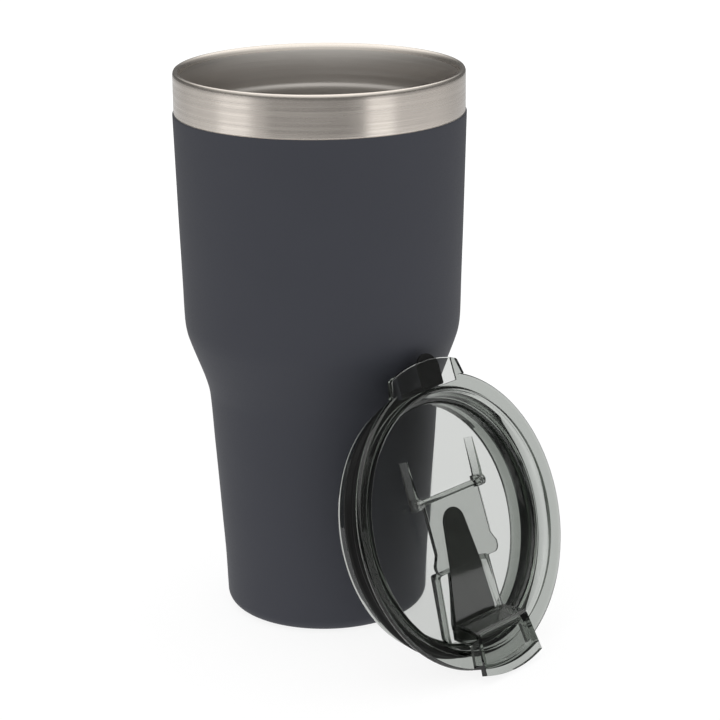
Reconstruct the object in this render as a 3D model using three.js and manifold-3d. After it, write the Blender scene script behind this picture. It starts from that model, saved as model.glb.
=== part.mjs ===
// Insulated tumbler with a press-in flip-top lid, the lid leaning against the body.
// Millimetres, +Z up. Origin: centre of the standing face of the tumbler.
// The lid leans on the +X side, its outer face turned away from the body.
import * as THREE from 'three';
import { mergeVertices } from 'three/addons/utils/BufferGeometryUtils.js';
import Module from 'manifold-3d';

const wasm = await Module();
wasm.setup();

// ---------------------------------------------------------------- dimensions
const HEIGHT = 199.3;        // standing face to top of lip
const RIM_R = 51.5;          // outer radius of the bare steel band
const BAND_Z = 184.2;        // lower edge of the bare steel band
const WALL = 0.6;            // sheet thickness of shell and liner
const WALLS_APART = 4.9;     // outside of shell to inside of liner
const BASE_CORNER = 5.0;     // radius between side and standing ring
const BASE_R = 36.55;        // outer radius just above the base corner
const RING_IN = 27.5;        // inner radius of the standing ring
const SEG = 40;              // facets round the tumbler
const LSEG = 56;             // facets round the lid

// outside of the tumbler above the base corner: [z, radius]
const OUTSIDE = [
  [BASE_CORNER, BASE_R], [18, 37.05], [34, 38.1], [50, 39.15], [64, 40.15], [77, 41.0],
  [82, 41.5], [87, 42.75], [92, 44.5], [97, 46.4], [101.5, 48.05], [105, 49.1],
  [108.5, 49.6], [113, 49.82], [122, 50.05], [142, 50.72], [162, 51.3], [183.6, 51.92],
];

const COARSE = OUTSIDE.filter(([z]) => ![5, 18, 50, 64, 82, 92, 105, 122, 142].includes(z));  // for the hidden walls

const LID_TILT = THREE.MathUtils.degToRad(19.15);  // lid face leans back from upright
const LID_AT = [73.775, -9.576, 50.436];           // centre of the top face of the lid flange
const FLANGE_R = 52.6;
const FLANGE_T = 2.2;
const RECESS_R = 45.7;       // top edge of the recess
const FLOOR_Z = -6.6;        // top of the recess floor, below the flange top
const FLOOR_T = 1.2;
const CHANNEL_Z = -9.4;       // floor of the sunken drinking channel
const PLUG_DEPTH = 17.4;     // flange top to the lower lip of the plug
const GROOVE_R = 44.5;
const GROOVE = [-6.2, -13.2];
const GASKET_R = 47.3;

const HINGE_Y = 10.3;        // hinge axis, from the lid centre towards the thumb tab
const HINGE_Z = -3.9;
const PIN_R = 0.95;
const PIN_HOLE_R = 1.3;
const ARM_TOP = -2.8;
const ARM_T = 1.5;
const ARM_DROP = 0.1;         // slope of the arm's lower part, down towards the drinking opening
const BEND_Y = -15.2;         // where the arm and its pad start to slope
const ARM_HALF = 14.9;
const CAP_R = 54.2;          // outer edge of the lift lip
const CAP_TOP = 6.2;
const BRIM_GAP = 0.4;        // closed cap to flange

// ------------------------------------------------------------------- helpers
function tidy(geo) {
  let g = geo.clone();
  g.deleteAttribute('normal');
  if (g.attributes.uv) g.deleteAttribute('uv');
  g = mergeVertices(g, 1e-4);
  const idx = g.index.array, p = g.attributes.position.array, out = [];
  let vol = 0;
  for (let i = 0; i < idx.length; i += 3) {
    const [a, b, c] = [idx[i], idx[i + 1], idx[i + 2]];
    if (a === b || b === c || a === c) continue;
    out.push(a, b, c);
    const [A, B, C] = [a, b, c].map((k) => new THREE.Vector3(p[3 * k], p[3 * k + 1], p[3 * k + 2]));
    vol += A.dot(B.cross(C)) / 6;
  }
  if (vol < 0) for (let i = 0; i < out.length; i += 3) [out[i + 1], out[i + 2]] = [out[i + 2], out[i + 1]];
  g.setIndex(out);
  return g;
}
function solid(geo) {
  const g = tidy(geo);
  return new wasm.Manifold(new wasm.Mesh({
    numProp: 3,
    vertProperties: new Float32Array(g.attributes.position.array),
    triVerts: new Uint32Array(g.index.array),
  }));
}
function geometry(m) {
  const mesh = m.getMesh();
  const g = new THREE.BufferGeometry();
  g.setAttribute('position', new THREE.BufferAttribute(new Float32Array(mesh.vertProperties), 3));
  g.setIndex(new THREE.BufferAttribute(new Uint32Array(mesh.triVerts), 1));
  return g;
}
function lathe(points, seg) {             // points are [radius, z]
  const g = new THREE.LatheGeometry(points.map(([r, z]) => new THREE.Vector2(r, z)), seg);
  return g.rotateX(Math.PI / 2);
}
function ring(points, seg) { return lathe([...points, points[0]], seg); }
function shapeOf(pts) { return new THREE.Shape(pts.map(([x, y]) => new THREE.Vector2(x, y))); }
function plate(pts, z0, z1) {             // outline in x, y; from z0 up to z1
  return new THREE.ExtrudeGeometry(shapeOf(pts), { depth: z1 - z0, bevelEnabled: false, curveSegments: 6 })
    .translate(0, 0, z0);
}
function sideProfile(pts, x0, x1) {       // outline in y, z; from x0 to x1
  const g = new THREE.ExtrudeGeometry(shapeOf(pts), { depth: x1 - x0, bevelEnabled: false });
  g.applyMatrix4(new THREE.Matrix4().makeBasis(
    new THREE.Vector3(0, 1, 0), new THREE.Vector3(0, 0, 1), new THREE.Vector3(1, 0, 0)));
  return g.translate(x0, 0, 0);
}
function sloped(geo, y0, k) {             // lowers what lies beyond y0 by k per millimetre
  const g = geo.clone(), p = g.attributes.position;
  for (let i = 0; i < p.count; i++) if (p.getY(i) < y0) p.setZ(i, p.getZ(i) - k * (y0 - p.getY(i)));
  return g;
}
function rod(r, x0, x1, y, z, seg = 20) { // cylinder along x
  return new THREE.CylinderGeometry(r, r, x1 - x0, seg).rotateZ(Math.PI / 2).translate((x0 + x1) / 2, y, z);
}
function post(r, x, y, z0, z1, seg = 20) {
  return new THREE.CylinderGeometry(r, r, z1 - z0, seg).rotateX(Math.PI / 2).translate(x, y, (z0 + z1) / 2);
}
function arcPoints(cx, cy, r, a0, a1, n) {
  const out = [];
  for (let i = 0; i <= n; i++) {
    const a = THREE.MathUtils.degToRad(a0 + (a1 - a0) * i / n);
    out.push([cx + r * Math.cos(a), cy + r * Math.sin(a)]);
  }
  return out;
}
function corner(cx, cz, r, a0, a1, n) { return arcPoints(cx, cz, r, a0, a1, n); }
function mirrorX(pts) { return [...pts, ...pts.slice().reverse().map(([x, y]) => [-x, y])]; }

const steel = () => new THREE.MeshStandardMaterial({ color: 0xb4b0ac, roughness: 0.32, metalness: 1.0 });
const group = new THREE.Group();
function add(parent, name, geo, material) {
  const mesh = new THREE.Mesh(tidy(geo), material);
  mesh.name = name;
  parent.add(mesh);
  return mesh;
}

// ------------------------------------------------------------------- tumbler
const cup = new THREE.Group();
group.add(cup);

// Outer shell: standing ring, rounded corner, slim lower body, shoulder, wide upper
// body and the bare band. The colour coat ends in a fine step at BAND_Z.
{
  const cx = BASE_R - BASE_CORNER;
  const outer = [
    [RING_IN, 0], ...corner(cx, BASE_CORNER, BASE_CORNER, -90, -9, 4),
    ...OUTSIDE.map(([z, r]) => [r, z]), [RIM_R + 0.3, BAND_Z - 0.15], [RIM_R, BAND_Z], [RIM_R, HEIGHT - 2.6],
  ];
  const inner = [
    [RIM_R - WALL, HEIGHT - 2.6], [RIM_R - WALL, BAND_Z],
    ...COARSE.slice().reverse().map(([z, r]) => [r - WALL, z]),
    ...corner(cx, BASE_CORNER, BASE_CORNER - WALL, -5, -90, 3), [RING_IN, WALL],
  ];
  add(cup, 'outer_shell', ring([...outer, ...inner], SEG),
    new THREE.MeshStandardMaterial({ color: 0x42444b, roughness: 0.62, metalness: 0.05 }));
}

// Inner liner: drawn cup whose mouth flares out and rolls over to form the drinking lip.
{
  const mouth = [[180, 46.5], [185, 46.75], [190, 47.2], [194, 48.05], [197, 49.0]];
  const wall = COARSE.filter(([z]) => z > 20 && z < 175).map(([z, r]) => [r - WALLS_APART, z]);
  const inner = [
    [0, 8], [22, 8], [27.2, 9.0], [30.6, 12.0], [31.9, 17.0],
    ...wall, ...mouth.map(([z, r]) => [r, z]),
    [49.35, 198.4], [49.9, HEIGHT - 0.2], [50.5, HEIGHT], [51.1, HEIGHT - 0.3], [RIM_R, HEIGHT - 1.1], [RIM_R, HEIGHT - 2.3],
  ];
  const outer = [
    [50.7, HEIGHT - 2.3], [50.2, HEIGHT - 2.0], [49.75, HEIGHT - 2.6],
    ...mouth.filter(([z]) => z !== 185 && z !== 197).reverse().map(([z, r]) => [r + WALL, z]),
    ...wall.slice().reverse().map(([r, z]) => [r + WALL, z]),
    [32.5, 16.9], [31.2, 11.8], [27.6, 8.5], [22.2, 8 - WALL], [0, 8 - WALL],
  ];
  add(cup, 'inner_liner', lathe([...inner, ...outer], SEG), steel());
}

// Stamped outer bottom, welded inside the standing ring, with the evacuation hole in its middle.
add(cup, 'outer_bottom', ring([
  [1.0, 4.0], [19.5, 4.0], [21, 3.7], [24.8, 2.0], [26, 1.7], [31.2, 1.7],
  [31.2, 1.1], [25.8, 1.1], [24.4, 1.5], [20.6, 3.15], [19.3, 3.4], [1.0, 3.4],
], SEG), steel());

// Brazed bead that closes the evacuation hole.
add(cup, 'vacuum_seal_bead', lathe([
  [0, 1.9], [2.6, 1.9], [3.2, 2.3], [3.2, 2.8], [2.9, 3.1], [0.7, 3.1], [0.7, 3.8], [0, 3.8],
], 20), new THREE.MeshStandardMaterial({ color: 0x6d6a63, roughness: 0.5, metalness: 0.6 }));

// Getter pellet in the vacuum space, on the outer bottom.
add(cup, 'getter', post(4.0, 11, 0, 4.3, 6.2, 20),
  new THREE.MeshStandardMaterial({ color: 0x77746f, roughness: 0.7, metalness: 0.4 }));

// Flush base cover over the seal: the tumbler stands on it and on the ring round it.
add(cup, 'base_cover', lathe([[0, 0], [26.6, 0], [26.9, 0.3], [26.9, 0.5], [26.6, 0.8], [0, 0.8]], SEG), steel());

// ----------------------------------------------------------------------- lid
// Lid frame: x across, y towards the thumb tab, z out of the top face.
const lid = new THREE.Group();
const up = new THREE.Vector3(-Math.sin(LID_TILT), 0, Math.cos(LID_TILT));
const out = new THREE.Vector3(Math.cos(LID_TILT), 0, Math.sin(LID_TILT));
lid.applyMatrix4(new THREE.Matrix4().makeBasis(new THREE.Vector3(0, 1, 0), up, out).setPosition(...LID_AT));
group.add(lid);
const smoke = () => new THREE.MeshStandardMaterial({ color: 0x8d928c, roughness: 0.08, metalness: 0, transparent: true, opacity: 0.55 });
const rubber = () => new THREE.MeshStandardMaterial({ color: 0x141414, roughness: 0.75, metalness: 0 });

const TONGUE_X = 3.2;        // pull tongue of the gasket
const TONGUE_HALF = 5.4;
const TONGUE_Y = 53.9;
{
  let shell = solid(lathe([
    [0, FLOOR_Z], [42.6, FLOOR_Z], [43.4, FLOOR_Z + 0.4], [45.1, -0.8], [RECESS_R, 0],
    [51.8, 0], [52.4, -0.35], [FLANGE_R, -0.9], [FLANGE_R, -1.5], [52.1, -2.1], [51.6, -FLANGE_T],
    [46.8, -FLANGE_T], [46.4, -2.6], [46.3, -6.0], [46.0, GROOVE[0]], [GROOVE_R, GROOVE[0]],
    [GROOVE_R, GROOVE[1]], [45.6, GROOVE[1]], [45.8, -13.6], [44.9, -17.2], [44.5, -PLUG_DEPTH],
    [42.6, -PLUG_DEPTH], [42.3, -17.1], [42.8, -9.2], [42.2, FLOOR_Z - FLOOR_T], [0, FLOOR_Z - FLOOR_T],
  ], LSEG));
  // thumb tab
  const tab = mirrorX([
    [0, 57.2], ...arcPoints(0, 0, 57.2, 88, 74, 5), [17.3, 54.2], [18.1, 53.0], [19.5, 48.2], [12, 48.2], [0, 48.9],
  ]).filter((p, i, a) => !(i > 0 && Math.hypot(p[0] - a[i - 1][0], p[1] - a[i - 1][1]) < 1e-6));
  shell = shell.add(solid(plate(tab.slice(0, -1), -FLANGE_T, 0)));
  // pocket for the gasket tongue under flange and tab
  const pocket = sideProfile([[-16.8, -3.4], [16.8, -3.4], [14.4, -0.9], [-14.4, -0.9]], 46.9, 62).rotateZ(Math.PI / 2);
  shell = shell.subtract(solid(pocket));
  // sunken channel under the lower part of the arm
  const tray = solid(plate(mirrorX([[13.6, -15.3], [16.3, -36.9], [16.3, -44]]), CHANNEL_Z - FLOOR_T, FLOOR_Z - 0.6))
    .intersect(solid(post(43.6, 0, 0, -14, -3, LSEG)));
  const channel = solid(plate(mirrorX([[12.4, -16.5], [15.1, -37], [15.1, -44]]), CHANNEL_Z, FLOOR_Z + 2))
    .intersect(solid(post(42.3, 0, 0, -14, -3, LSEG)));
  shell = shell.add(tray).subtract(channel);
  for (const s of [-1, 1]) {
    // rib behind each hinge boss, thinning to a point
    shell = shell.add(solid(plate([[16.2, 8.8], [18.0, 8.8], [18.2, 15], [18.0, 22], [17.85, 25.9], [17.5, 25.9], [17.25, 22], [16.95, 15]]
      .map(([x, y]) => [s * x, y]), FLOOR_Z - 0.5, ARM_TOP)));
    // hinge boss
    const b0 = s > 0 ? 15.4 : -18.3, b1 = s > 0 ? 18.3 : -15.4;
    shell = shell.add(solid(rod(2.0, b0, b1, HINGE_Y, HINGE_Z)));
    shell = shell.add(solid(sideProfile([
      [HINGE_Y - 1.8, FLOOR_Z - 0.5], [HINGE_Y + 1.8, FLOOR_Z - 0.5], [HINGE_Y + 1.8, HINGE_Z], [HINGE_Y - 1.8, HINGE_Z],
    ], b0, b1)));
    shell = shell.subtract(solid(rod(PIN_HOLE_R, s > 0 ? 15.0 : -17.6, s > 0 ? 17.6 : -15.0, HINGE_Y, HINGE_Z)));
  }
  // drinking opening beside the wall, and the vent
  shell = shell.subtract(solid(plate([
    ...arcPoints(0, 0, 40.6, 256, 284, 8), ...arcPoints(0, 0, 33.6, 284, 256, 8),
  ], -12, 0)));
  shell = shell.subtract(solid(post(1.6, 0, 1.5, -12, -3)));
  add(lid, 'lid_shell', geometry(shell), smoke());
}

// Silicone gasket with two sealing lips and a pull tongue.
{
  let g = solid(ring([
    [44.8, -6.5], [46.6, -6.5], [47.1, -7.0], [GASKET_R, -7.6], [46.5, -8.6], [46.5, -9.6],
    [GASKET_R - 0.1, -10.6], [GASKET_R, -11.4], [46.8, -12.4], [46.2, -12.9], [44.8, -12.9],
  ], LSEG));
  g = g.add(solid(sideProfile([
    [45.5, -9.3], [47.1, -9.3], [48.2, -6.6], [48.2, -1.3], [47.4, -1.3], [47.1, -1.6], [47.1, -6.4], [46.6, -7.0], [45.5, -7.0],
  ], TONGUE_X - TONGUE_HALF + 0.2, TONGUE_X + TONGUE_HALF - 0.2)));
  g = g.add(solid(plate([
    [TONGUE_X + TONGUE_HALF, 47.5], ...arcPoints(TONGUE_X, TONGUE_Y, TONGUE_HALF, 0, 180, 12), [TONGUE_X - TONGUE_HALF, 47.5],
  ], -FLANGE_T, -1.2)));
  add(lid, 'lid_gasket', geometry(g), rubber());
}

// Flip arm: hinge pins, cover plate with side ears, riser, and the cap over the brim.
{
  const bottom = ARM_TOP - ARM_T;
  let arm = solid(plate(mirrorX([
    [ARM_HALF, HINGE_Y], [ARM_HALF + 0.1, -8.4], [15.9, -10.0], [16.9, -11.8], [16.9, -13.2], [16.3, -14.6], [14.9, -15.4], [0, -15.4],
  ]).filter((p, i, a) => i === 0 || p[0] !== a[i - 1][0] || p[1] !== a[i - 1][1]), bottom, ARM_TOP));
  arm = arm.add(solid(sloped(plate(mirrorX([[10.9, -15.0], [13.4, -36.6]]), bottom, ARM_TOP), BEND_Y, ARM_DROP)));
  arm = arm.add(solid(rod(1.1, -ARM_HALF, ARM_HALF, HINGE_Y, HINGE_Z, 24)));
  arm = arm.add(solid(rod(PIN_R, -17.3, 17.3, HINGE_Y, HINGE_Z, 24)));
  let cap = solid(sideProfile([
    [-34.2, -6.2], [-34.2, -4.7], [-36.9, 3.9], [-38.0, 4.6], [-56, CAP_TOP], [-56, 3.6], [-53.2, 3.5], [-53.2, BRIM_GAP],
    [-41.5, BRIM_GAP], [-38.8, -6.4],
  ], -17, 17));
  cap = cap.intersect(solid(plate(mirrorX([[13.2, -33], [13.7, -37], [15.7, -56]]), -8, 9)));
  cap = cap.intersect(solid(post(CAP_R, 0, 0, -8, 9, LSEG * 2)));
  cap = cap.subtract(solid(post(60, 0, 0, -3, 3.5, 64)).subtract(solid(post(51.9, 0, 0, -4, 4, LSEG * 2))));
  // hollow under the cap, open towards the lid
  let hollow = solid(sideProfile([
    [-36.2, -9], [-36.2, -3.4], [-38.6, 2.4], [-39.6, 2.9], [-52, 3.6], [-52, -9],
  ], -17, 17));
  hollow = hollow.intersect(solid(plate(mirrorX([[10.9, -33], [12.0, -37], [13.9, -56]]), -10, 9)));
  hollow = hollow.intersect(solid(post(50.3, 0, 0, -10, 9, LSEG * 2)));
  arm = arm.add(cap).subtract(hollow);
  add(lid, 'flip_arm', geometry(arm), smoke());
}

// Silicone pad under the arm: tongue over the vent and a stopper block in the drinking opening.
{
  let pad = solid(plate([...arcPoints(0, -0.5, 5.6, 172, 8, 10), [8.0, -15.4], [-8.0, -15.4]], -6.3, -5.5));
  pad = pad.add(solid(sloped(plate([[8.0, -15.2], [11.4, -33.4], [11.4, -36.0], [-11.4, -36.0], [-11.4, -33.4], [-8.0, -15.2]], -6.3, -5.5),
    BEND_Y, ARM_DROP + 0.01)));
  let block = solid(sideProfile([
    [-33.9, -8.8], [-33.9, -7.6], [-36.6, -7.0], [-36.8, -4.2], [-39.3, 1.6], [-40.8, 1.6], [-41.2, 0.6], [-41.2, -8.4], [-40.6, -8.8],
  ], -10.2, 10.2));
  block = block.intersect(solid(post(41.3, 0, 0, -9, 9, LSEG * 2)));
  pad = pad.add(block);
  const plug = solid(plate([
    ...arcPoints(0, 0, 40.1, 257, 283, 8), ...arcPoints(0, 0, 34.3, 283, 257, 8),
  ], -10.3, -8.6));
  pad = pad.add(plug);
  add(lid, 'arm_pad', geometry(pad), rubber());
}

export default group;
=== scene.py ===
# Looks for the insulated tumbler and its flip-top lid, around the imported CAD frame.
import math

import bmesh
import bpy
import numpy as np
from mathutils import Matrix, Vector

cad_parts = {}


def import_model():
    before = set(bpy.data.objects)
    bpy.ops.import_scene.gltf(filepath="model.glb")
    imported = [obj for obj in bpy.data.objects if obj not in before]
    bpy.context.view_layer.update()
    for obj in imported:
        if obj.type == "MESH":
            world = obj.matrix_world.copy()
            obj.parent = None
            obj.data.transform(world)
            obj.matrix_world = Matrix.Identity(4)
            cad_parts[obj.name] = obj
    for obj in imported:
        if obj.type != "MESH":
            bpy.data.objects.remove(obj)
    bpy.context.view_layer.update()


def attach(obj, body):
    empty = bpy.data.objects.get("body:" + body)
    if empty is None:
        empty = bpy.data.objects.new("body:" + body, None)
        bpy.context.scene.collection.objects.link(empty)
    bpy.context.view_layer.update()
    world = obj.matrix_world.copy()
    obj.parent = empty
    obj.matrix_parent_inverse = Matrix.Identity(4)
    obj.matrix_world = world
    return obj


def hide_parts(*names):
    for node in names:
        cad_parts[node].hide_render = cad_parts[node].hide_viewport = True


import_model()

scene = bpy.context.scene
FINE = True
SEG_CUP = 256 if FINE else 128
SEG_LID = 192 if FINE else 96

# ------------------------------------------------------------------ camera
CAM_POS = Vector((0.577939, -0.637596, 0.355576))
CAM_RIGHT = Vector((0.75316, 0.65776, -0.00968)).normalized()
CAM_FORWARD = Vector((-0.63102, 0.71822, -0.29321)).normalized()
CAM_UP = CAM_RIGHT.cross(CAM_FORWARD).normalized()
cam_data = bpy.data.cameras.new("camera")
cam_data.lens = 123.735
cam_data.sensor_width = 36.0
cam_data.clip_start = 0.01
cam = bpy.data.objects.new("camera", cam_data)
scene.collection.objects.link(cam)
rot = Matrix((CAM_RIGHT, CAM_UP, -CAM_FORWARD)).transposed().to_4x4()
cam.matrix_world = Matrix.Translation(CAM_POS) @ rot
scene.camera = cam

# ------------------------------------------------------------------ sizes in mm
HEIGHT, RIM_R, BAND_Z, WALL, WALLS_APART = 199.3, 51.5, 184.2, 0.6, 4.9
BASE_CORNER, BASE_R, RING_IN = 5.0, 36.55, 27.5
OUTSIDE = [
    (5.0, 36.55), (18, 37.05), (34, 38.1), (50, 39.15), (64, 40.15), (77, 41.0),
    (82, 41.5), (87, 42.75), (92, 44.5), (97, 46.4), (101.5, 48.05), (105, 49.1),
    (108.5, 49.6), (113, 49.82), (122, 50.05), (142, 50.72), (162, 51.3), (183.6, 51.92),
]
TILT = math.radians(19.15)
LID_AT = Vector((73.775, -9.576, 50.436))
LID = Matrix((
    (0, -math.sin(TILT), math.cos(TILT), LID_AT.x),
    (1, 0, 0, LID_AT.y),
    (0, math.cos(TILT), math.sin(TILT), LID_AT.z),
    (0, 0, 0, 1),
))
METRES = Matrix.Scale(0.001, 4)

# ------------------------------------------------------------------ mesh helpers
def pchip(xs, ys, x):
    """Monotone cubic through the points."""
    xs, ys, x = (np.asarray(a, float) for a in (xs, ys, x))
    h, d = np.diff(xs), np.diff(ys) / np.diff(xs)
    m = np.zeros(len(xs))
    for i in range(1, len(xs) - 1):
        if d[i - 1] * d[i] > 0:
            w1, w2 = 2 * h[i] + h[i - 1], h[i] + 2 * h[i - 1]
            m[i] = (w1 + w2) / (w1 / d[i - 1] + w2 / d[i])
    m[0], m[-1] = d[0], d[-1]
    k = np.clip(np.searchsorted(xs, x) - 1, 0, len(h) - 1)
    t = (x - xs[k]) / h[k]
    return ((1 + 2 * t) * (1 - t) ** 2 * ys[k] + t * (1 - t) ** 2 * h[k] * m[k]
            + t * t * (3 - 2 * t) * ys[k + 1] + t * t * (t - 1) * h[k] * m[k + 1])


def fillet(points, default=0.0, closed=True, n=5):
    """Rounds the corners of an outline. A point is (x, y) or (x, y, radius)."""
    out, m = [], len(points)
    for i, p in enumerate(points):
        b = Vector(p[:2])
        r = p[2] if len(p) > 2 else default
        if r <= 0 or (not closed and i in (0, m - 1)):
            out.append(tuple(b))
            continue
        u, v = Vector(points[i - 1][:2]) - b, Vector(points[(i + 1) % m][:2]) - b
        lu, lv = u.length, v.length
        u, v = u / lu, v / lv
        ang = u.angle(v)
        if ang > math.radians(179):
            out.append(tuple(b))
            continue
        t = min(r / math.tan(ang / 2), 0.48 * lu, 0.48 * lv)
        rr = t * math.tan(ang / 2)
        c = b + (u + v).normalized() * (rr / math.sin(ang / 2))
        p0, p1 = b + u * t - c, b + v * t - c
        a0, a1 = math.atan2(p0.y, p0.x), math.atan2(p1.y, p1.x)
        d = (a1 - a0 + math.pi) % (2 * math.pi) - math.pi
        for k in range(n + 1):
            a = a0 + d * k / n
            out.append((c.x + rr * math.cos(a), c.y + rr * math.sin(a)))
    return out


def arc(cx, cy, r, a0, a1, n):
    return [(cx + r * math.cos(math.radians(a0 + (a1 - a0) * k / n)),
             cy + r * math.sin(math.radians(a0 + (a1 - a0) * k / n))) for k in range(n + 1)]


def mirrored(pts):
    return list(pts) + [(-p[0], *p[1:]) for p in reversed(pts)]


def obj(name, verts, faces):
    me = bpy.data.meshes.new(name)
    me.from_pydata([tuple(v) for v in verts], [], faces)
    bm = bmesh.new()
    bm.from_mesh(me)
    bmesh.ops.recalc_face_normals(bm, faces=bm.faces)
    bm.to_mesh(me)
    bm.free()
    o = bpy.data.objects.new(name, me)
    scene.collection.objects.link(o)
    return o


def lathe(name, points, seg, ring=False):
    """Points are (radius, z). ring closes the outline on itself, otherwise it starts and ends on the axis."""
    verts, faces, rows = [], [], []
    for r, z in points:
        if r < 1e-6:
            rows.append([len(verts)])
            verts.append((0, 0, z))
        else:
            rows.append(list(range(len(verts), len(verts) + seg)))
            verts += [(r * math.cos(2 * math.pi * k / seg), r * math.sin(2 * math.pi * k / seg), z) for k in range(seg)]
    n = len(rows)
    for i in range(n if ring else n - 1):
        a, b = rows[i], rows[(i + 1) % n]
        for k in range(seg):
            j = (k + 1) % seg
            if len(a) == 1:
                faces.append((a[0], b[k], b[j]))
            elif len(b) == 1:
                faces.append((a[k], a[j], b[0]))
            else:
                faces.append((a[k], a[j], b[j], b[k]))
    return obj(name, verts, faces)


def slab(name, outline, z0, z1, edge=0.2, n=3, axis="z"):
    """A plate with rounded top and bottom edges. axis "x" reads the outline in y, z and extrudes along x."""
    p = np.array([q[:2] for q in outline], float)
    keep = np.linalg.norm(p - np.roll(p, 1, 0), axis=1) > 1e-5
    p = p[keep]
    area = 0.5 * np.sum(p[:, 0] * np.roll(p[:, 1], -1) - np.roll(p[:, 0], -1) * p[:, 1])
    if area < 0:
        p = p[::-1]
    e = np.roll(p, -1, 0) - p
    e /= np.linalg.norm(e, axis=1)[:, None]
    nrm = np.stack([-e[:, 1], e[:, 0]], 1)              # inward
    prev = np.roll(nrm, 1, 0)
    mitre = (nrm + prev) / np.maximum(1 + np.sum(nrm * prev, 1), 0.35)[:, None]
    levels = []
    if edge > 0:
        for k in range(n + 1):
            a = math.pi / 2 * k / n
            levels.append((edge * (1 - math.sin(a)), z0 + edge * (1 - math.cos(a))))
        levels += [(i, z0 + z1 - z) for i, z in reversed(levels)]
    else:
        levels = [(0, z0), (0, z1)]
    verts, faces, m = [], [], len(p)
    for inset, z in levels:
        q = p + mitre * inset
        verts += [(x, y, z) for x, y in q]
    for l in range(len(levels) - 1):
        for k in range(m):
            j = (k + 1) % m
            faces.append((l * m + k, l * m + j, (l + 1) * m + j, (l + 1) * m + k))
    faces.append(tuple(range(m - 1, -1, -1)))
    faces.append(tuple(range((len(levels) - 1) * m, len(levels) * m)))
    if axis == "x":
        verts = [(c, a, b) for a, b, c in verts]
    return obj(name, verts, faces)


def rod(name, r, x0, x1, y, z, seg=48, edge=0.15):
    o = lathe(name, [(0, x0), (r - edge, x0), (r - edge * 0.3, x0 + edge * 0.3), (r, x0 + edge),
                     (r, x1 - edge), (r - edge * 0.3, x1 - edge * 0.3), (r - edge, x1), (0, x1)], seg)
    o.data.transform(Matrix(((0, 0, 1, 0), (1, 0, 0, y), (0, 1, 0, z), (0, 0, 0, 1))))
    return o


def post(name, r, x, y, z0, z1, seg=48):
    o = lathe(name, [(0, z0), (r, z0), (r, z1), (0, z1)], seg)
    o.data.transform(Matrix.Translation((x, y, 0)))
    return o


def settle(o):
    """Applies o's modifiers to its mesh."""
    dg = bpy.context.evaluated_depsgraph_get()
    me = bpy.data.meshes.new_from_object(o.evaluated_get(dg))
    o.modifiers.clear()
    o.data = me
    return o


def boolean(o, parts, op):
    for part in parts:
        mod = o.modifiers.new("b", "BOOLEAN")
        mod.operation, mod.object, mod.solver = op, part, "EXACT"
        settle(o)
        bpy.data.objects.remove(part)
    return o


def clean(o, dist=2e-4):
    bm = bmesh.new()
    bm.from_mesh(o.data)
    bmesh.ops.remove_doubles(bm, verts=bm.verts, dist=dist)
    bmesh.ops.dissolve_degenerate(bm, edges=bm.edges, dist=dist)
    bmesh.ops.recalc_face_normals(bm, faces=bm.faces)
    bm.to_mesh(o.data)
    bm.free()
    return o


def bevel(o, width, segments=2, angle=40):
    mod = o.modifiers.new("bevel", "BEVEL")
    mod.width, mod.segments, mod.limit_method = width, segments, "ANGLE"
    mod.angle_limit = math.radians(angle)
    mod.use_clamp_overlap = True
    mod.miter_outer = "MITER_ARC"
    return settle(o)


def place(o, matrix=None, sharp=28, weighted=True):
    """Millimetres in a local frame become metres in the row frame, with smooth shading."""
    o.data.transform(METRES @ (matrix or Matrix.Identity(4)))
    me = o.data
    me.shade_smooth()
    me.set_sharp_from_angle(angle=math.radians(sharp))
    if weighted:
        mod = o.modifiers.new("normals", "WEIGHTED_NORMAL")
        mod.keep_sharp, mod.weight, mod.mode = True, 60, "FACE_AREA"
        settle(o)
    return o


def finish_piece(o, body, node, slot_name, *materials):
    o.data.materials.clear()
    for m in materials:
        o.data.materials.append(m)
    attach(o, body)
    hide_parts(node)
    return o

# ------------------------------------------------------------------ materials
def new_material(name):
    m = bpy.data.materials.new(name)
    m.use_nodes = True
    nt = m.node_tree
    nt.nodes.clear()
    out = nt.nodes.new("ShaderNodeOutputMaterial")
    bsdf = nt.nodes.new("ShaderNodeBsdfPrincipled")
    nt.links.new(bsdf.outputs["BSDF"], out.inputs["Surface"])
    return m, nt, bsdf, out


def node(nt, kind, **values):
    n = nt.nodes.new(kind)
    for k, v in values.items():
        if k in n.inputs:
            n.inputs[k].default_value = v
        else:
            setattr(n, k, v)
    return n


def object_coords(nt, scale=(1, 1, 1)):
    tc = nt.nodes.new("ShaderNodeTexCoord")
    mp = nt.nodes.new("ShaderNodeMapping")
    mp.inputs["Scale"].default_value = scale
    nt.links.new(tc.outputs["Object"], mp.inputs["Vector"])
    return mp.outputs["Vector"]


def noise(nt, vec, scale, detail=2.0, rough=0.5):
    n = nt.nodes.new("ShaderNodeTexNoise")
    n.inputs["Scale"].default_value = scale
    n.inputs["Detail"].default_value = detail
    n.inputs["Roughness"].default_value = rough
    nt.links.new(vec, n.inputs["Vector"])
    return n.outputs["Fac"]


def remap(nt, value, lo, hi, from_lo=0.3, from_hi=0.7):
    n = nt.nodes.new("ShaderNodeMapRange")
    n.inputs["From Min"].default_value = from_lo
    n.inputs["From Max"].default_value = from_hi
    n.inputs["To Min"].default_value = lo
    n.inputs["To Max"].default_value = hi
    nt.links.new(value, n.inputs["Value"])
    return n.outputs["Result"]


def tinted(nt, fac, a, b):
    n = nt.nodes.new("ShaderNodeMix")
    n.data_type = "RGBA"
    n.inputs["A"].default_value = (*a, 1)
    n.inputs["B"].default_value = (*b, 1)
    nt.links.new(fac, n.inputs["Factor"])
    return n.outputs["Result"]


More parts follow.
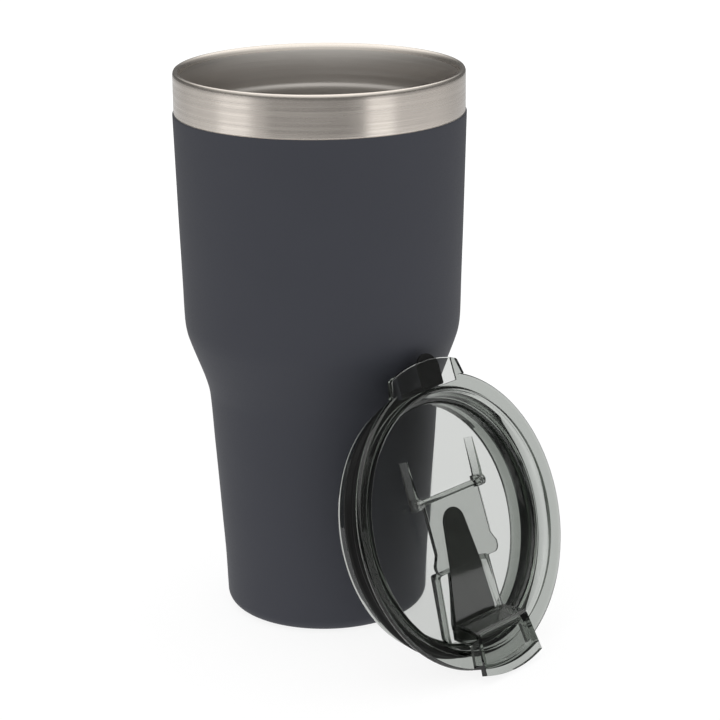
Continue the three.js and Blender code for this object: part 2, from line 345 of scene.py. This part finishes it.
def bumped(nt, bsdf, height, distance, strength=1.0, normal=None):
    n = nt.nodes.new("ShaderNodeBump")
    n.inputs["Strength"].default_value = strength
    n.inputs["Distance"].default_value = distance
    nt.links.new(height, n.inputs["Height"])
    if normal is not None:
        nt.links.new(normal, n.inputs["Normal"])
    nt.links.new(n.outputs["Normal"], bsdf.inputs["Normal"])
    return n.outputs["Normal"]


def powder_coat():
    m, nt, b, _ = new_material("powder_coat_slate")
    v = object_coords(nt)
    broad = noise(nt, v, 28, 3)
    grain = noise(nt, v, 2600, 2)
    colour = tinted(nt, remap(nt, broad, 0, 1), (0.0365, 0.0385, 0.0480), (0.0385, 0.0405, 0.0505))
    nt.links.new(colour, b.inputs["Base Color"])
    nt.links.new(remap(nt, grain, 0.56, 0.66), b.inputs["Roughness"])
    b.inputs["Specular IOR Level"].default_value = 0.24
    peel = noise(nt, v, 900, 1)
    n1 = bumped(nt, b, peel, 0.000012, 0.6)
    bumped(nt, b, grain, 0.000006, 0.5, n1)
    return m


def brushed_steel(name, tone=(0.68, 0.625, 0.57), rough=(0.20, 0.29), turned=False, aniso=0.75):
    m, nt, b, _ = new_material(name)
    b.inputs["Metallic"].default_value = 1.0
    if turned:                                       # circles on a flat face
        v = object_coords(nt)
        ln = nt.nodes.new("ShaderNodeVectorMath")
        ln.operation = "LENGTH"
        flat = nt.nodes.new("ShaderNodeVectorMath")
        flat.operation = "MULTIPLY"
        flat.inputs[1].default_value = (1, 1, 0)
        nt.links.new(v, flat.inputs[0])
        nt.links.new(flat.outputs["Vector"], ln.inputs[0])
        cmb = nt.nodes.new("ShaderNodeCombineXYZ")
        sc = nt.nodes.new("ShaderNodeMath")
        sc.operation, sc.inputs[1].default_value = "MULTIPLY", 60.0
        nt.links.new(ln.outputs["Value"], sc.inputs[0])
        nt.links.new(sc.outputs["Value"], cmb.inputs["X"])
        fine = noise(nt, cmb.outputs["Vector"], 90, 3, 0.7)
        mid = noise(nt, cmb.outputs["Vector"], 12, 2, 0.6)
    else:                                            # lines round the axis
        fine = noise(nt, object_coords(nt, (26, 26, 5200)), 1, 3, 0.65)
        mid = noise(nt, object_coords(nt, (9, 9, 900)), 1, 2, 0.6)
    smudge = noise(nt, object_coords(nt), 22, 3, 0.6)
    lo = tuple(c * 0.90 for c in tone)
    nt.links.new(tinted(nt, remap(nt, fine, 0, 1), lo, tone), b.inputs["Base Color"])
    add = nt.nodes.new("ShaderNodeMath")
    add.operation = "ADD"
    nt.links.new(remap(nt, mid, rough[0], rough[1]), add.inputs[0])
    nt.links.new(remap(nt, smudge, -0.02, 0.04), add.inputs[1])
    nt.links.new(add.outputs["Value"], b.inputs["Roughness"])
    if aniso:
        b.inputs["Anisotropic"].default_value = aniso
        b.inputs["Anisotropic Rotation"].default_value = 0.25
        tan = nt.nodes.new("ShaderNodeTangent")
        tan.direction_type, tan.axis = "RADIAL", "Z"
        nt.links.new(tan.outputs["Tangent"], b.inputs["Tangent"])
    bumped(nt, b, fine, 0.000010, 0.5)
    return m


def smoke_plastic(name, density=680.0, colour=(0.56, 0.585, 0.558)):
    m, nt, b, out = new_material(name)
    b.inputs["Base Color"].default_value = (1, 1, 1, 1)
    b.inputs["Transmission Weight"].default_value = 1.0
    b.inputs["IOR"].default_value = 1.50
    v = object_coords(nt)
    haze = noise(nt, v, 60, 3)
    nt.links.new(remap(nt, haze, 0.012, 0.05), b.inputs["Roughness"])
    flow = noise(nt, v, 45, 1)
    bumped(nt, b, flow, 0.00006, 0.35)
    ab = nt.nodes.new("ShaderNodeVolumeAbsorption")
    ab.inputs["Color"].default_value = (*colour, 1)
    ab.inputs["Density"].default_value = density
    nt.links.new(ab.outputs["Volume"], out.inputs["Volume"])
    return m


def silicone(name, tone=(0.010, 0.010, 0.010), rough=(0.42, 0.56)):
    m, nt, b, _ = new_material(name)
    v = object_coords(nt)
    patch = noise(nt, v, 120, 3)
    grain = noise(nt, v, 3000, 2)
    nt.links.new(tinted(nt, remap(nt, patch, 0, 1), tone, tuple(c * 1.5 for c in tone)), b.inputs["Base Color"])
    nt.links.new(remap(nt, patch, *rough), b.inputs["Roughness"])
    b.inputs["Specular IOR Level"].default_value = 0.22
    bumped(nt, b, grain, 0.000008, 0.5)
    return m


def dull_metal(name, tone, rough):
    m, nt, b, _ = new_material(name)
    v = object_coords(nt)
    n = noise(nt, v, 900, 4)
    b.inputs["Metallic"].default_value = 1.0
    nt.links.new(tinted(nt, remap(nt, n, 0, 1), tuple(c * 0.6 for c in tone), tone), b.inputs["Base Color"])
    nt.links.new(remap(nt, n, rough, rough + 0.15), b.inputs["Roughness"])
    bumped(nt, b, n, 0.00005, 0.7)
    return m


COAT = powder_coat()
STEEL = brushed_steel("brushed_steel_band")
STEEL_IN = brushed_steel("brushed_steel_liner", tone=(0.56, 0.53, 0.50), rough=(0.30, 0.42), aniso=0.5)
STEEL_BASE = brushed_steel("turned_steel_base", turned=True, rough=(0.22, 0.34), aniso=0.0)
STAMPED = dull_metal("stamped_steel", (0.45, 0.44, 0.42), 0.35)
BRAZE = dull_metal("braze", (0.34, 0.31, 0.26), 0.45)
SMOKE = smoke_plastic("smoke_clear_plastic")
SMOKE_ARM = smoke_plastic("smoke_clear_plastic_arm", density=560.0)
GASKET = silicone("black_silicone_gasket", tone=(0.0025, 0.0025, 0.0025), rough=(0.55, 0.7))
PAD = silicone("black_silicone_pad", tone=(0.050, 0.053, 0.049), rough=(0.6, 0.75))

# ------------------------------------------------------------------ tumbler
zs = [z for z, _ in OUTSIDE]
rs = [r for _, r in OUTSIDE]


def outside(z):
    return pchip(zs, rs, z)


side_z = list(np.arange(6.0, 78, 3.0)) + list(np.arange(78, 116, 1.0)) + list(np.arange(116, 183.2, 3.2))
corner = arc(BASE_R - BASE_CORNER, BASE_CORNER, BASE_CORNER, -90, -6, 12)
skin = ([(RING_IN - 0.1, 0.25), (RING_IN + 0.15, 0.02)] + corner
        + [(float(outside(z)), float(z)) for z in side_z]
        + [(51.915, 183.55), (51.90, 183.9), (51.82, 184.1), (51.68, 184.19), (51.52, 184.21),
           (51.42, 184.28), (51.45, 184.45), (51.5, 184.7), (51.5, 187), (51.5, 190), (51.5, 193.5), (51.5, 197.0)])
inside = ([(51.5 - WALL, 197.0), (51.5 - WALL, 184.0)]
          + [(float(outside(z)) - WALL, float(z)) for z in reversed(side_z[::3])]
          + [(BASE_R - BASE_CORNER + (BASE_CORNER - WALL) * math.cos(a), BASE_CORNER + (BASE_CORNER - WALL) * math.sin(a))
             for a in np.radians(np.linspace(-6, -90, 6))] + [(RING_IN - 0.1, WALL)])
shell = lathe("outer_shell_skin", skin + inside, SEG_CUP, ring=True)
place(shell)
finish_piece(shell, "tumbler", "outer_shell", "coated_steel", COAT, STEEL)
PAINTED = sum(1 for _, z in skin if z < 184.2)        # rows of the outline under the coat
for k, p in enumerate(shell.data.polygons):
    p.material_index = 0 if k // SEG_CUP < PAINTED else 1

wall_z = np.arange(22, 181, 3.0)
mouth = [(46.42, 178), (46.40, 182.2), (46.46, 183.2), (46.62, 184.0), (46.95, 184.6), (47.15, 185.4), (47.24, 187),
         (47.42, 190), (47.85, 193), (48.40, 195.4), (48.95, 197.0)]
lip = [(49.2, 197.8), (49.55, 198.6), (49.95, 199.05), (50.4, 199.27), (50.75, 199.28), (51.12, 199.05), (51.38, 198.6), (51.5, 198.0),
       (51.5, 197.0)]
liner_in = ([(0, 8.0), (6, 8.0), (12, 8.0), (18, 8.0), (22, 8.02), (25, 8.35), (27.5, 9.2), (29.6, 10.9), (31.0, 13.3), (31.75, 16.5),
             (32.25, 20.0)] + [(float(outside(z)) - WALLS_APART, float(z)) for z in wall_z[1:] if z < 176] + mouth + lip)
liner_out = ([(50.95, 197.0), (50.2, 196.9), (49.5, 196.3), (48.6, 194.2), (47.9, 190), (47.4, 184)]
             + [(float(outside(z)) - WALLS_APART + WALL, float(z)) for z in reversed(wall_z[::3]) if z < 178]
             + [(32.4, 16.4), (31.4, 12.6), (29.6, 10.2), (27.6, 8.6), (25, 7.75), (22, 7.4), (0, 7.4)])
liner = lathe("inner_liner_skin", liner_in + liner_out, SEG_CUP)
place(liner)
finish_piece(liner, "tumbler", "inner_liner", "brushed_steel", STEEL_IN, STEEL)
for p in liner.data.polygons:
    r = math.hypot(p.center.x, p.center.y) * 1000
    z = p.center.z * 1000
    if z > 196.95 and r > 48.95:
        p.material_index = 1

bottom = lathe("outer_bottom_skin", fillet([
    (1.0, 4.0), (19.5, 4.0, 1.2), (21.4, 3.5, 1.2), (24.8, 2.0, 1.2), (26.2, 1.7, 1.2), (31.2, 1.7),
    (31.2, 1.1), (25.8, 1.1, 1), (24.4, 1.5, 1), (20.8, 3.0, 1), (19.3, 3.4, 1), (1.0, 3.4)], n=4), 96, ring=True)
place(bottom)
finish_piece(bottom, "tumbler", "outer_bottom", "brushed_steel", STAMPED)

cover = lathe("base_cover_disc", [(0, 0.35), (15.0, 0.35), (15.6, 0.32), (16.1, 0.12), (16.6, 0.02), (17.4, 0), (26.2, 0), (26.6, 0.06),
                                  (26.85, 0.25), (26.9, 0.5), (26.7, 0.75), (26.4, 0.8), (0, 0.8)], SEG_CUP)
place(cover)
finish_piece(cover, "tumbler", "base_cover", "brushed_steel", STEEL_BASE)

bead = lathe("vacuum_seal_bead_drop", [(0, 1.95), (1.2, 1.97), (2.3, 2.1), (3.0, 2.35), (3.2, 2.65), (3.05, 2.95), (2.5, 3.1), (0.7, 3.12),
                                       (0.7, 3.8), (0, 3.8)], 40)
place(bead)
finish_piece(bead, "tumbler", "vacuum_seal_bead", "braze", BRAZE)
pellet = lathe("getter_pellet", [(0, 4.3), (3.5, 4.3), (3.9, 4.5), (4.0, 4.8), (4.0, 5.7), (3.8, 6.05), (3.4, 6.2), (1.2, 6.2), (0.9, 5.9), (0, 5.9)], 40)
pellet.data.transform(Matrix.Translation((11, 0, 0)))
place(pellet)
finish_piece(pellet, "tumbler", "getter", "braze", BRAZE)

# ------------------------------------------------------------------ lid
FLOOR, HINGE_Y, HINGE_Z = -6.6, 10.3, -3.9
ARM_TOP, ARM_BOTTOM = -2.8, -4.3
CHANNEL, BEND_Y = -9.4, -15.2


def sloped(o, k, y0=BEND_Y):
    """Lowers what lies beyond y0 by k per millimetre."""
    for v in o.data.vertices:
        if v.co.y < y0:
            v.co.z -= k * (y0 - v.co.y)
    return o


def lid_shell():
    o = lathe("lid_shell_moulding", [
        (0, FLOOR)] + fillet([
        (30, FLOOR), (43.0, FLOOR, 1.3), (45.2, -0.7, 1.0), (46.0, 0, 0.5), (51.95, 0, 1.08), (51.95, -2.2, 1.08),
        (46.9, -2.2, 0.5), (46.35, -3.2, 0.8), (46.2, -6.2, 0.2), (44.5, -6.2, 0.3), (44.5, -13.2, 0.3), (45.7, -13.2, 0.4),
        (45.4, -15.8, 1.0), (44.7, -17.4, 0.5), (42.7, -17.4, 0.5), (42.4, -16.4, 0.8), (42.9, -9.0, 1.2), (42.0, -7.7, 1.0), (30, -7.7),
        ], closed=False, n=4)[1:-1] + [(0, -7.7)], SEG_LID)
    adds, cuts = [], []
    tab = fillet([(0, 57.2)] + arc(0, 0, 57.2, 87, 74.5, 8)[:-1] + [(17.6, 54.2, 1.5), (19.4, 48.2, 0), (10, 48.6, 0)], n=6)
    tab = mirrored(tab[1:])
    adds.append(slab("tab", tab, -2.2, 0, 0.45, 4))
    tray = slab("tray", fillet(mirrored([(13.7, -15.3, 1.0), (16.3, -36.9, 0), (16.3, -46, 0)])), CHANNEL - 1.1, FLOOR - 0.5, 0.5, 4)
    boolean(tray, [post("tr", 43.6, 0, 0, -14, -3, 256)], "INTERSECT")
    adds.append(tray)
    channel = slab("channel", fillet(mirrored([(12.4, -16.5, 1.2), (15.1, -37, 0), (15.1, -46, 0)])), CHANNEL, -3.0, 0.4, 4)
    boolean(channel, [post("cr", 42.3, 0, 0, -14, -2, 256)], "INTERSECT")
    for s in (-1, 1):
        rib = fillet([(s * x, y, r) for x, y, r in (
            (16.2, 8.8, 0), (18.0, 8.8, 0), (18.2, 15, 2), (18.0, 22, 2), (17.9, 25.8, 0.08), (17.55, 25.8, 0.08), (17.3, 22, 2), (16.95, 15, 2))])
        adds.append(slab("rib", rib, FLOOR - 0.5, ARM_TOP, 0.08, 3))
        x0, x1 = sorted((s * 15.4, s * 18.3))
        adds.append(slab("boss", fillet([
            (HINGE_Y - 2.0, FLOOR - 0.5), (HINGE_Y + 2.0, FLOOR - 0.5)]
            + arc(HINGE_Y, HINGE_Z, 2.0, 0, 180, 16)), x0, x1, 0.25, 3, axis="x"))
        x0, x1 = sorted((s * 15.0, s * 17.6))
        cuts.append(rod("hole", 1.25, x0, x1, HINGE_Y, HINGE_Z))
    cuts.append(channel)
    pocket = slab("pocket", [(-16.8, -3.4), (16.8, -3.4), (14.4, -0.9), (-14.4, -0.9)], 46.9, 62, 0, axis="x")
    for v in pocket.data.vertices:
        v.co.x, v.co.y = -v.co.y, v.co.x
    cuts.append(pocket)
    cuts.append(slab("slot", fillet(
        [(*q, 0) for q in arc(0, 0, 40.6, 256, 284, 16)[1:-1]] + [(*arc(0, 0, 40.6, 284, 284.1, 1)[0], 1.2), (*arc(0, 0, 33.6, 284, 284.1, 1)[0], 1.2)]
        + [(*q, 0) for q in arc(0, 0, 33.6, 284, 256, 16)[1:-1]] + [(*arc(0, 0, 33.6, 256, 256.1, 1)[0], 1.2), (*arc(0, 0, 40.6, 256, 256.1, 1)[0], 1.2)]),
        -13, -4, 0))
    cuts.append(post("vent", 1.6, 0, 1.5, -12, -3, 40))
    boolean(o, adds, "UNION")
    boolean(o, cuts, "DIFFERENCE")
    return clean(o)


def lid_gasket():
    o = lathe("lid_gasket_ring", fillet([
        (44.75, -6.5, 0.3), (46.4, -6.5, 0.3), (47.1, -6.9, 0.3), (47.35, -7.7, 0.3), (46.5, -8.8, 0.4), (46.5, -9.7, 0.4), (47.25, -10.6, 0.3),
        (47.3, -11.5, 0.3), (46.7, -12.5, 0.3), (46.1, -12.9, 0.3), (44.75, -12.9, 0.3)], n=3), SEG_LID, ring=True)
    strap = slab("strap", fillet([(45.5, -9.3), (47.1, -9.3, 0.4), (48.2, -6.6, 1), (48.2, -1.25, 0.4), (47.3, -1.25, 0.3), (47.1, -2.4, 0.3), (47.1, -6.3, 0.3),
                                  (46.6, -7.0), (45.5, -7.0)]), -2.0, 8.4, 0.2, 3, axis="x")
    tongue = slab("tongue", [(8.6, 47.6)] + arc(3.2, 53.9, 5.4, 0, 180, 24) + [(-2.2, 47.6)], -2.3, -1.2, 0.3, 3)
    boolean(o, [strap, tongue], "UNION")
    return clean(o)


def flip_arm():
    upper = fillet(mirrored([
        (14.9, HINGE_Y + 0.9, 0.5), (14.95, -8.2, 0.9), (15.8, -9.9, 1.2), (16.95, -11.7, 1.2), (16.95, -13.2, 1.0), (16.3, -14.7, 1.0), (14.9, -15.45, 0.6), (12.0, -15.45, 0)]), n=6)
    o = slab("flip_arm_moulding", upper, ARM_BOTTOM, ARM_TOP, 0.3, 4)
    lower = slab("lower", [(10.9, -14.9), (11.0, -17.0), (11.6, -22.0), (12.2, -27.0), (12.8, -32.0), (13.4, -36.6),
                           (-13.4, -36.6), (-12.8, -32.0), (-12.2, -27.0), (-11.6, -22.0), (-11.0, -17.0), (-10.9, -14.9)], ARM_BOTTOM, ARM_TOP, 0.3, 4)
    sloped(lower, 0.1)
    barrel = rod("barrel", 1.1, -14.9, 14.9, HINGE_Y, HINGE_Z)
    pins = rod("pins", 0.95, -17.3, 17.3, HINGE_Y, HINGE_Z)
    cap = slab("cap", fillet([
        (-34.2, -6.2), (-34.2, -4.7, 0.5), (-36.9, 3.9, 1.0), (-38.0, 4.7, 0.8), (-57, 6.35), (-57, 0.4), (-41.5, 0.4, 0.5), (-38.8, -6.4)]),
        -17, 17, 0, axis="x")
    wedge = slab("wedge", mirrored([(13.2, -33), (13.7, -37), (15.9, -56)]), -8, 9, 0)
    round_ = post("round", 54.2, 0, 0, -9, 10, 384)
    boolean(cap, [wedge, round_], "INTERSECT")
    under = lathe("under", [(51.9, -3), (60, -3), (60, 3.5), (51.9, 3.5)], 384, ring=True)
    hollow = slab("hollow", fillet([(-36.2, -9), (-36.2, -3.4, 0.5), (-38.6, 2.4, 0.8), (-39.6, 2.9, 0.6), (-52, 3.6), (-60, 4.0), (-60, -9)]), -17, 17, 0, axis="x")
    wedge2 = slab("wedge2", fillet(mirrored([(10.8, -31, 0), (10.9, -37, 0), (13.9, -57, 0)])), -10, 10, 0)
    round2 = post("round2", 50.3, 0, 0, -11, 11, 384)
    boolean(hollow, [wedge2, round2], "INTERSECT")
    boolean(cap, [under], "DIFFERENCE")
    boolean(o, [lower, barrel, pins, cap], "UNION")
    boolean(o, [hollow], "DIFFERENCE")
    clean(o)
    return o


def arm_pad():
    o = slab("arm_pad_moulding", arc(0, -0.5, 5.6, 174, 6, 20) + [(8.0, -15.4), (-8.0, -15.4)], -6.3, -5.5, 0.2, 3)
    low = sloped(slab("low", [(8.0, -15.0), (9.5, -23.5), (11.4, -33.4), (11.4, -35.9), (-11.4, -35.9), (-11.4, -33.4), (-9.5, -23.5), (-8.0, -15.0)], -6.3, -5.5, 0.2, 3), 0.11)
    block = slab("block", fillet([
        (-33.9, -8.8, 0.15), (-33.9, -7.6, 0.15), (-36.4, -7.1, 0.3), (-36.7, -4.2, 0.3), (-39.2, 1.6, 0.5), (-40.9, 1.6, 0.5), (-41.1, -8.8, 0.3)]),
        -10.2, 10.2, 0.1, 3, axis="x")
    boolean(block, [post("r", 41.3, 0, 0, -11, 9, 256)], "INTERSECT")
    plug = slab("plug", fillet([(*q, 0) for q in arc(0, 0, 40.1, 257, 283, 14)] + [(*q, 0) for q in arc(0, 0, 34.3, 283, 257, 14)]), -10.3, -8.5, 0.25, 3)
    boolean(o, [low, block, plug], "UNION")
    return clean(o)


ls = place(lid_shell(), LID)
finish_piece(ls, "lid", "lid_shell", "smoke_clear_plastic", SMOKE)
lg = place(lid_gasket(), LID)
finish_piece(lg, "lid", "lid_gasket", "black_silicone", GASKET)
fa = place(flip_arm(), LID)
finish_piece(fa, "arm", "flip_arm", "smoke_clear_plastic", SMOKE_ARM)
ap = place(arm_pad(), LID)
finish_piece(ap, "arm", "arm_pad", "black_silicone", PAD)

# ------------------------------------------------------------------ floor and light
floor_m, nt, b, _ = new_material("white_floor")
b.inputs["Base Color"].default_value = (0.93, 0.93, 0.93, 1)
b.inputs["Roughness"].default_value = 1.0
b.inputs["Specular IOR Level"].default_value = 0.0
b.inputs["Base Color"].default_value = (0.16, 0.16, 0.16, 1)
b.inputs["Emission Color"].default_value = (1, 1, 1, 1)
b.inputs["Emission Strength"].default_value = 0.86
floor = lathe("floor", [(0, 0), (0.2, 0), (0.5, 0)], 96)
floor.data.materials.append(floor_m)
floor.location.z = -0.0002

world = bpy.data.worlds.new("studio")
scene.world = world
world.use_nodes = True
nt = world.node_tree
nt.nodes.clear()
out = nt.nodes.new("ShaderNodeOutputWorld")
soft = node(nt, "ShaderNodeBackground", Color=(1, 1, 1, 1), Strength=1.12)
gloss = node(nt, "ShaderNodeBackground", Strength=1.3)
mix = nt.nodes.new("ShaderNodeMixShader")
lp = nt.nodes.new("ShaderNodeLightPath")
nt.links.new(lp.outputs["Is Glossy Ray"], mix.inputs["Fac"])
nt.links.new(soft.outputs[0], mix.inputs[1])
nt.links.new(gloss.outputs[0], mix.inputs[2])
nt.links.new(mix.outputs[0], out.inputs["Surface"])
tc = nt.nodes.new("ShaderNodeTexCoord")
sep = nt.nodes.new("ShaderNodeSeparateXYZ")
nt.links.new(tc.outputs["Generated"], sep.inputs["Vector"])
at = node(nt, "ShaderNodeMath", operation="ARCTAN2")
nt.links.new(sep.outputs["Y"], at.inputs[0])
nt.links.new(sep.outputs["X"], at.inputs[1])
turn = node(nt, "ShaderNodeMapRange")
turn.inputs["From Min"].default_value, turn.inputs["From Max"].default_value = -math.pi, math.pi
nt.links.new(at.outputs["Value"], turn.inputs["Value"])
ramp = nt.nodes.new("ShaderNodeValToRGB")
ramp.color_ramp.interpolation = "EASE"
STOPS = [(-180, 0.78), (-158, 0.95), (-140, 1.10), (-127, 1.75), (-110, 1.80), (-96, 0.85), (-84, 0.42), (-30, 0.30), (-16, 0.50),
         (-6, 1.90), (7, 1.85), (18, 1.05), (50, 0.98), (90, 0.72), (120, 0.62), (150, 0.70), (180, 0.78)]
els = ramp.color_ramp.elements
while len(els) > 1:
    els.remove(els[0])
els[0].position = 0.0
for k, (a, v) in enumerate(STOPS):
    e = els[0] if k == 0 else els.new((a + 180) / 360)
    e.color = (v / 1.3, v / 1.3, v / 1.3, 1)
nt.links.new(turn.outputs["Result"], ramp.inputs["Fac"])
elev = nt.nodes.new("ShaderNodeMapRange")
elev.inputs["From Min"].default_value, elev.inputs["From Max"].default_value = -1.0, 1.0
nt.links.new(sep.outputs["Z"], elev.inputs["Value"])
walls = nt.nodes.new("ShaderNodeValToRGB")               # what stands above the table: dark room, bright ceiling
walls.color_ramp.interpolation = "EASE"
els = walls.color_ramp.elements
while len(els) > 1:
    els.remove(els[0])
els[0].position = 0.0
els[0].color = (0.10, 0.10, 0.10, 1)
for z, v in ((0.22, 0.10), (0.42, 0.42), (0.66, 1.12), (0.84, 1.25), (1.0, 1.25)):
    e = els.new((z + 1) / 2)
    e.color = (v, v, v * 0.985, 1)
nt.links.new(elev.outputs["Result"], walls.inputs["Fac"])
high = node(nt, "ShaderNodeMapRange")
high.inputs["From Min"].default_value, high.inputs["From Max"].default_value = -0.185, -0.115
high.interpolation_type = "SMOOTHSTEP"
nt.links.new(sep.outputs["Z"], high.inputs["Value"])
blend = nt.nodes.new("ShaderNodeMix")
blend.data_type = "RGBA"
nt.links.new(high.outputs["Result"], blend.inputs["Factor"])
nt.links.new(ramp.outputs["Color"], blend.inputs["A"])
nt.links.new(walls.outputs["Color"], blend.inputs["B"])
nt.links.new(blend.outputs["Result"], gloss.inputs["Color"])

scene.view_settings.view_transform = "Standard"
scene.view_settings.look = "None"
scene.cycles.max_bounces = 32
scene.cycles.transmission_bounces = 28
scene.cycles.glossy_bounces = 12
scene.cycles.transparent_max_bounces = 16
scene.cycles.volume_bounces = 2
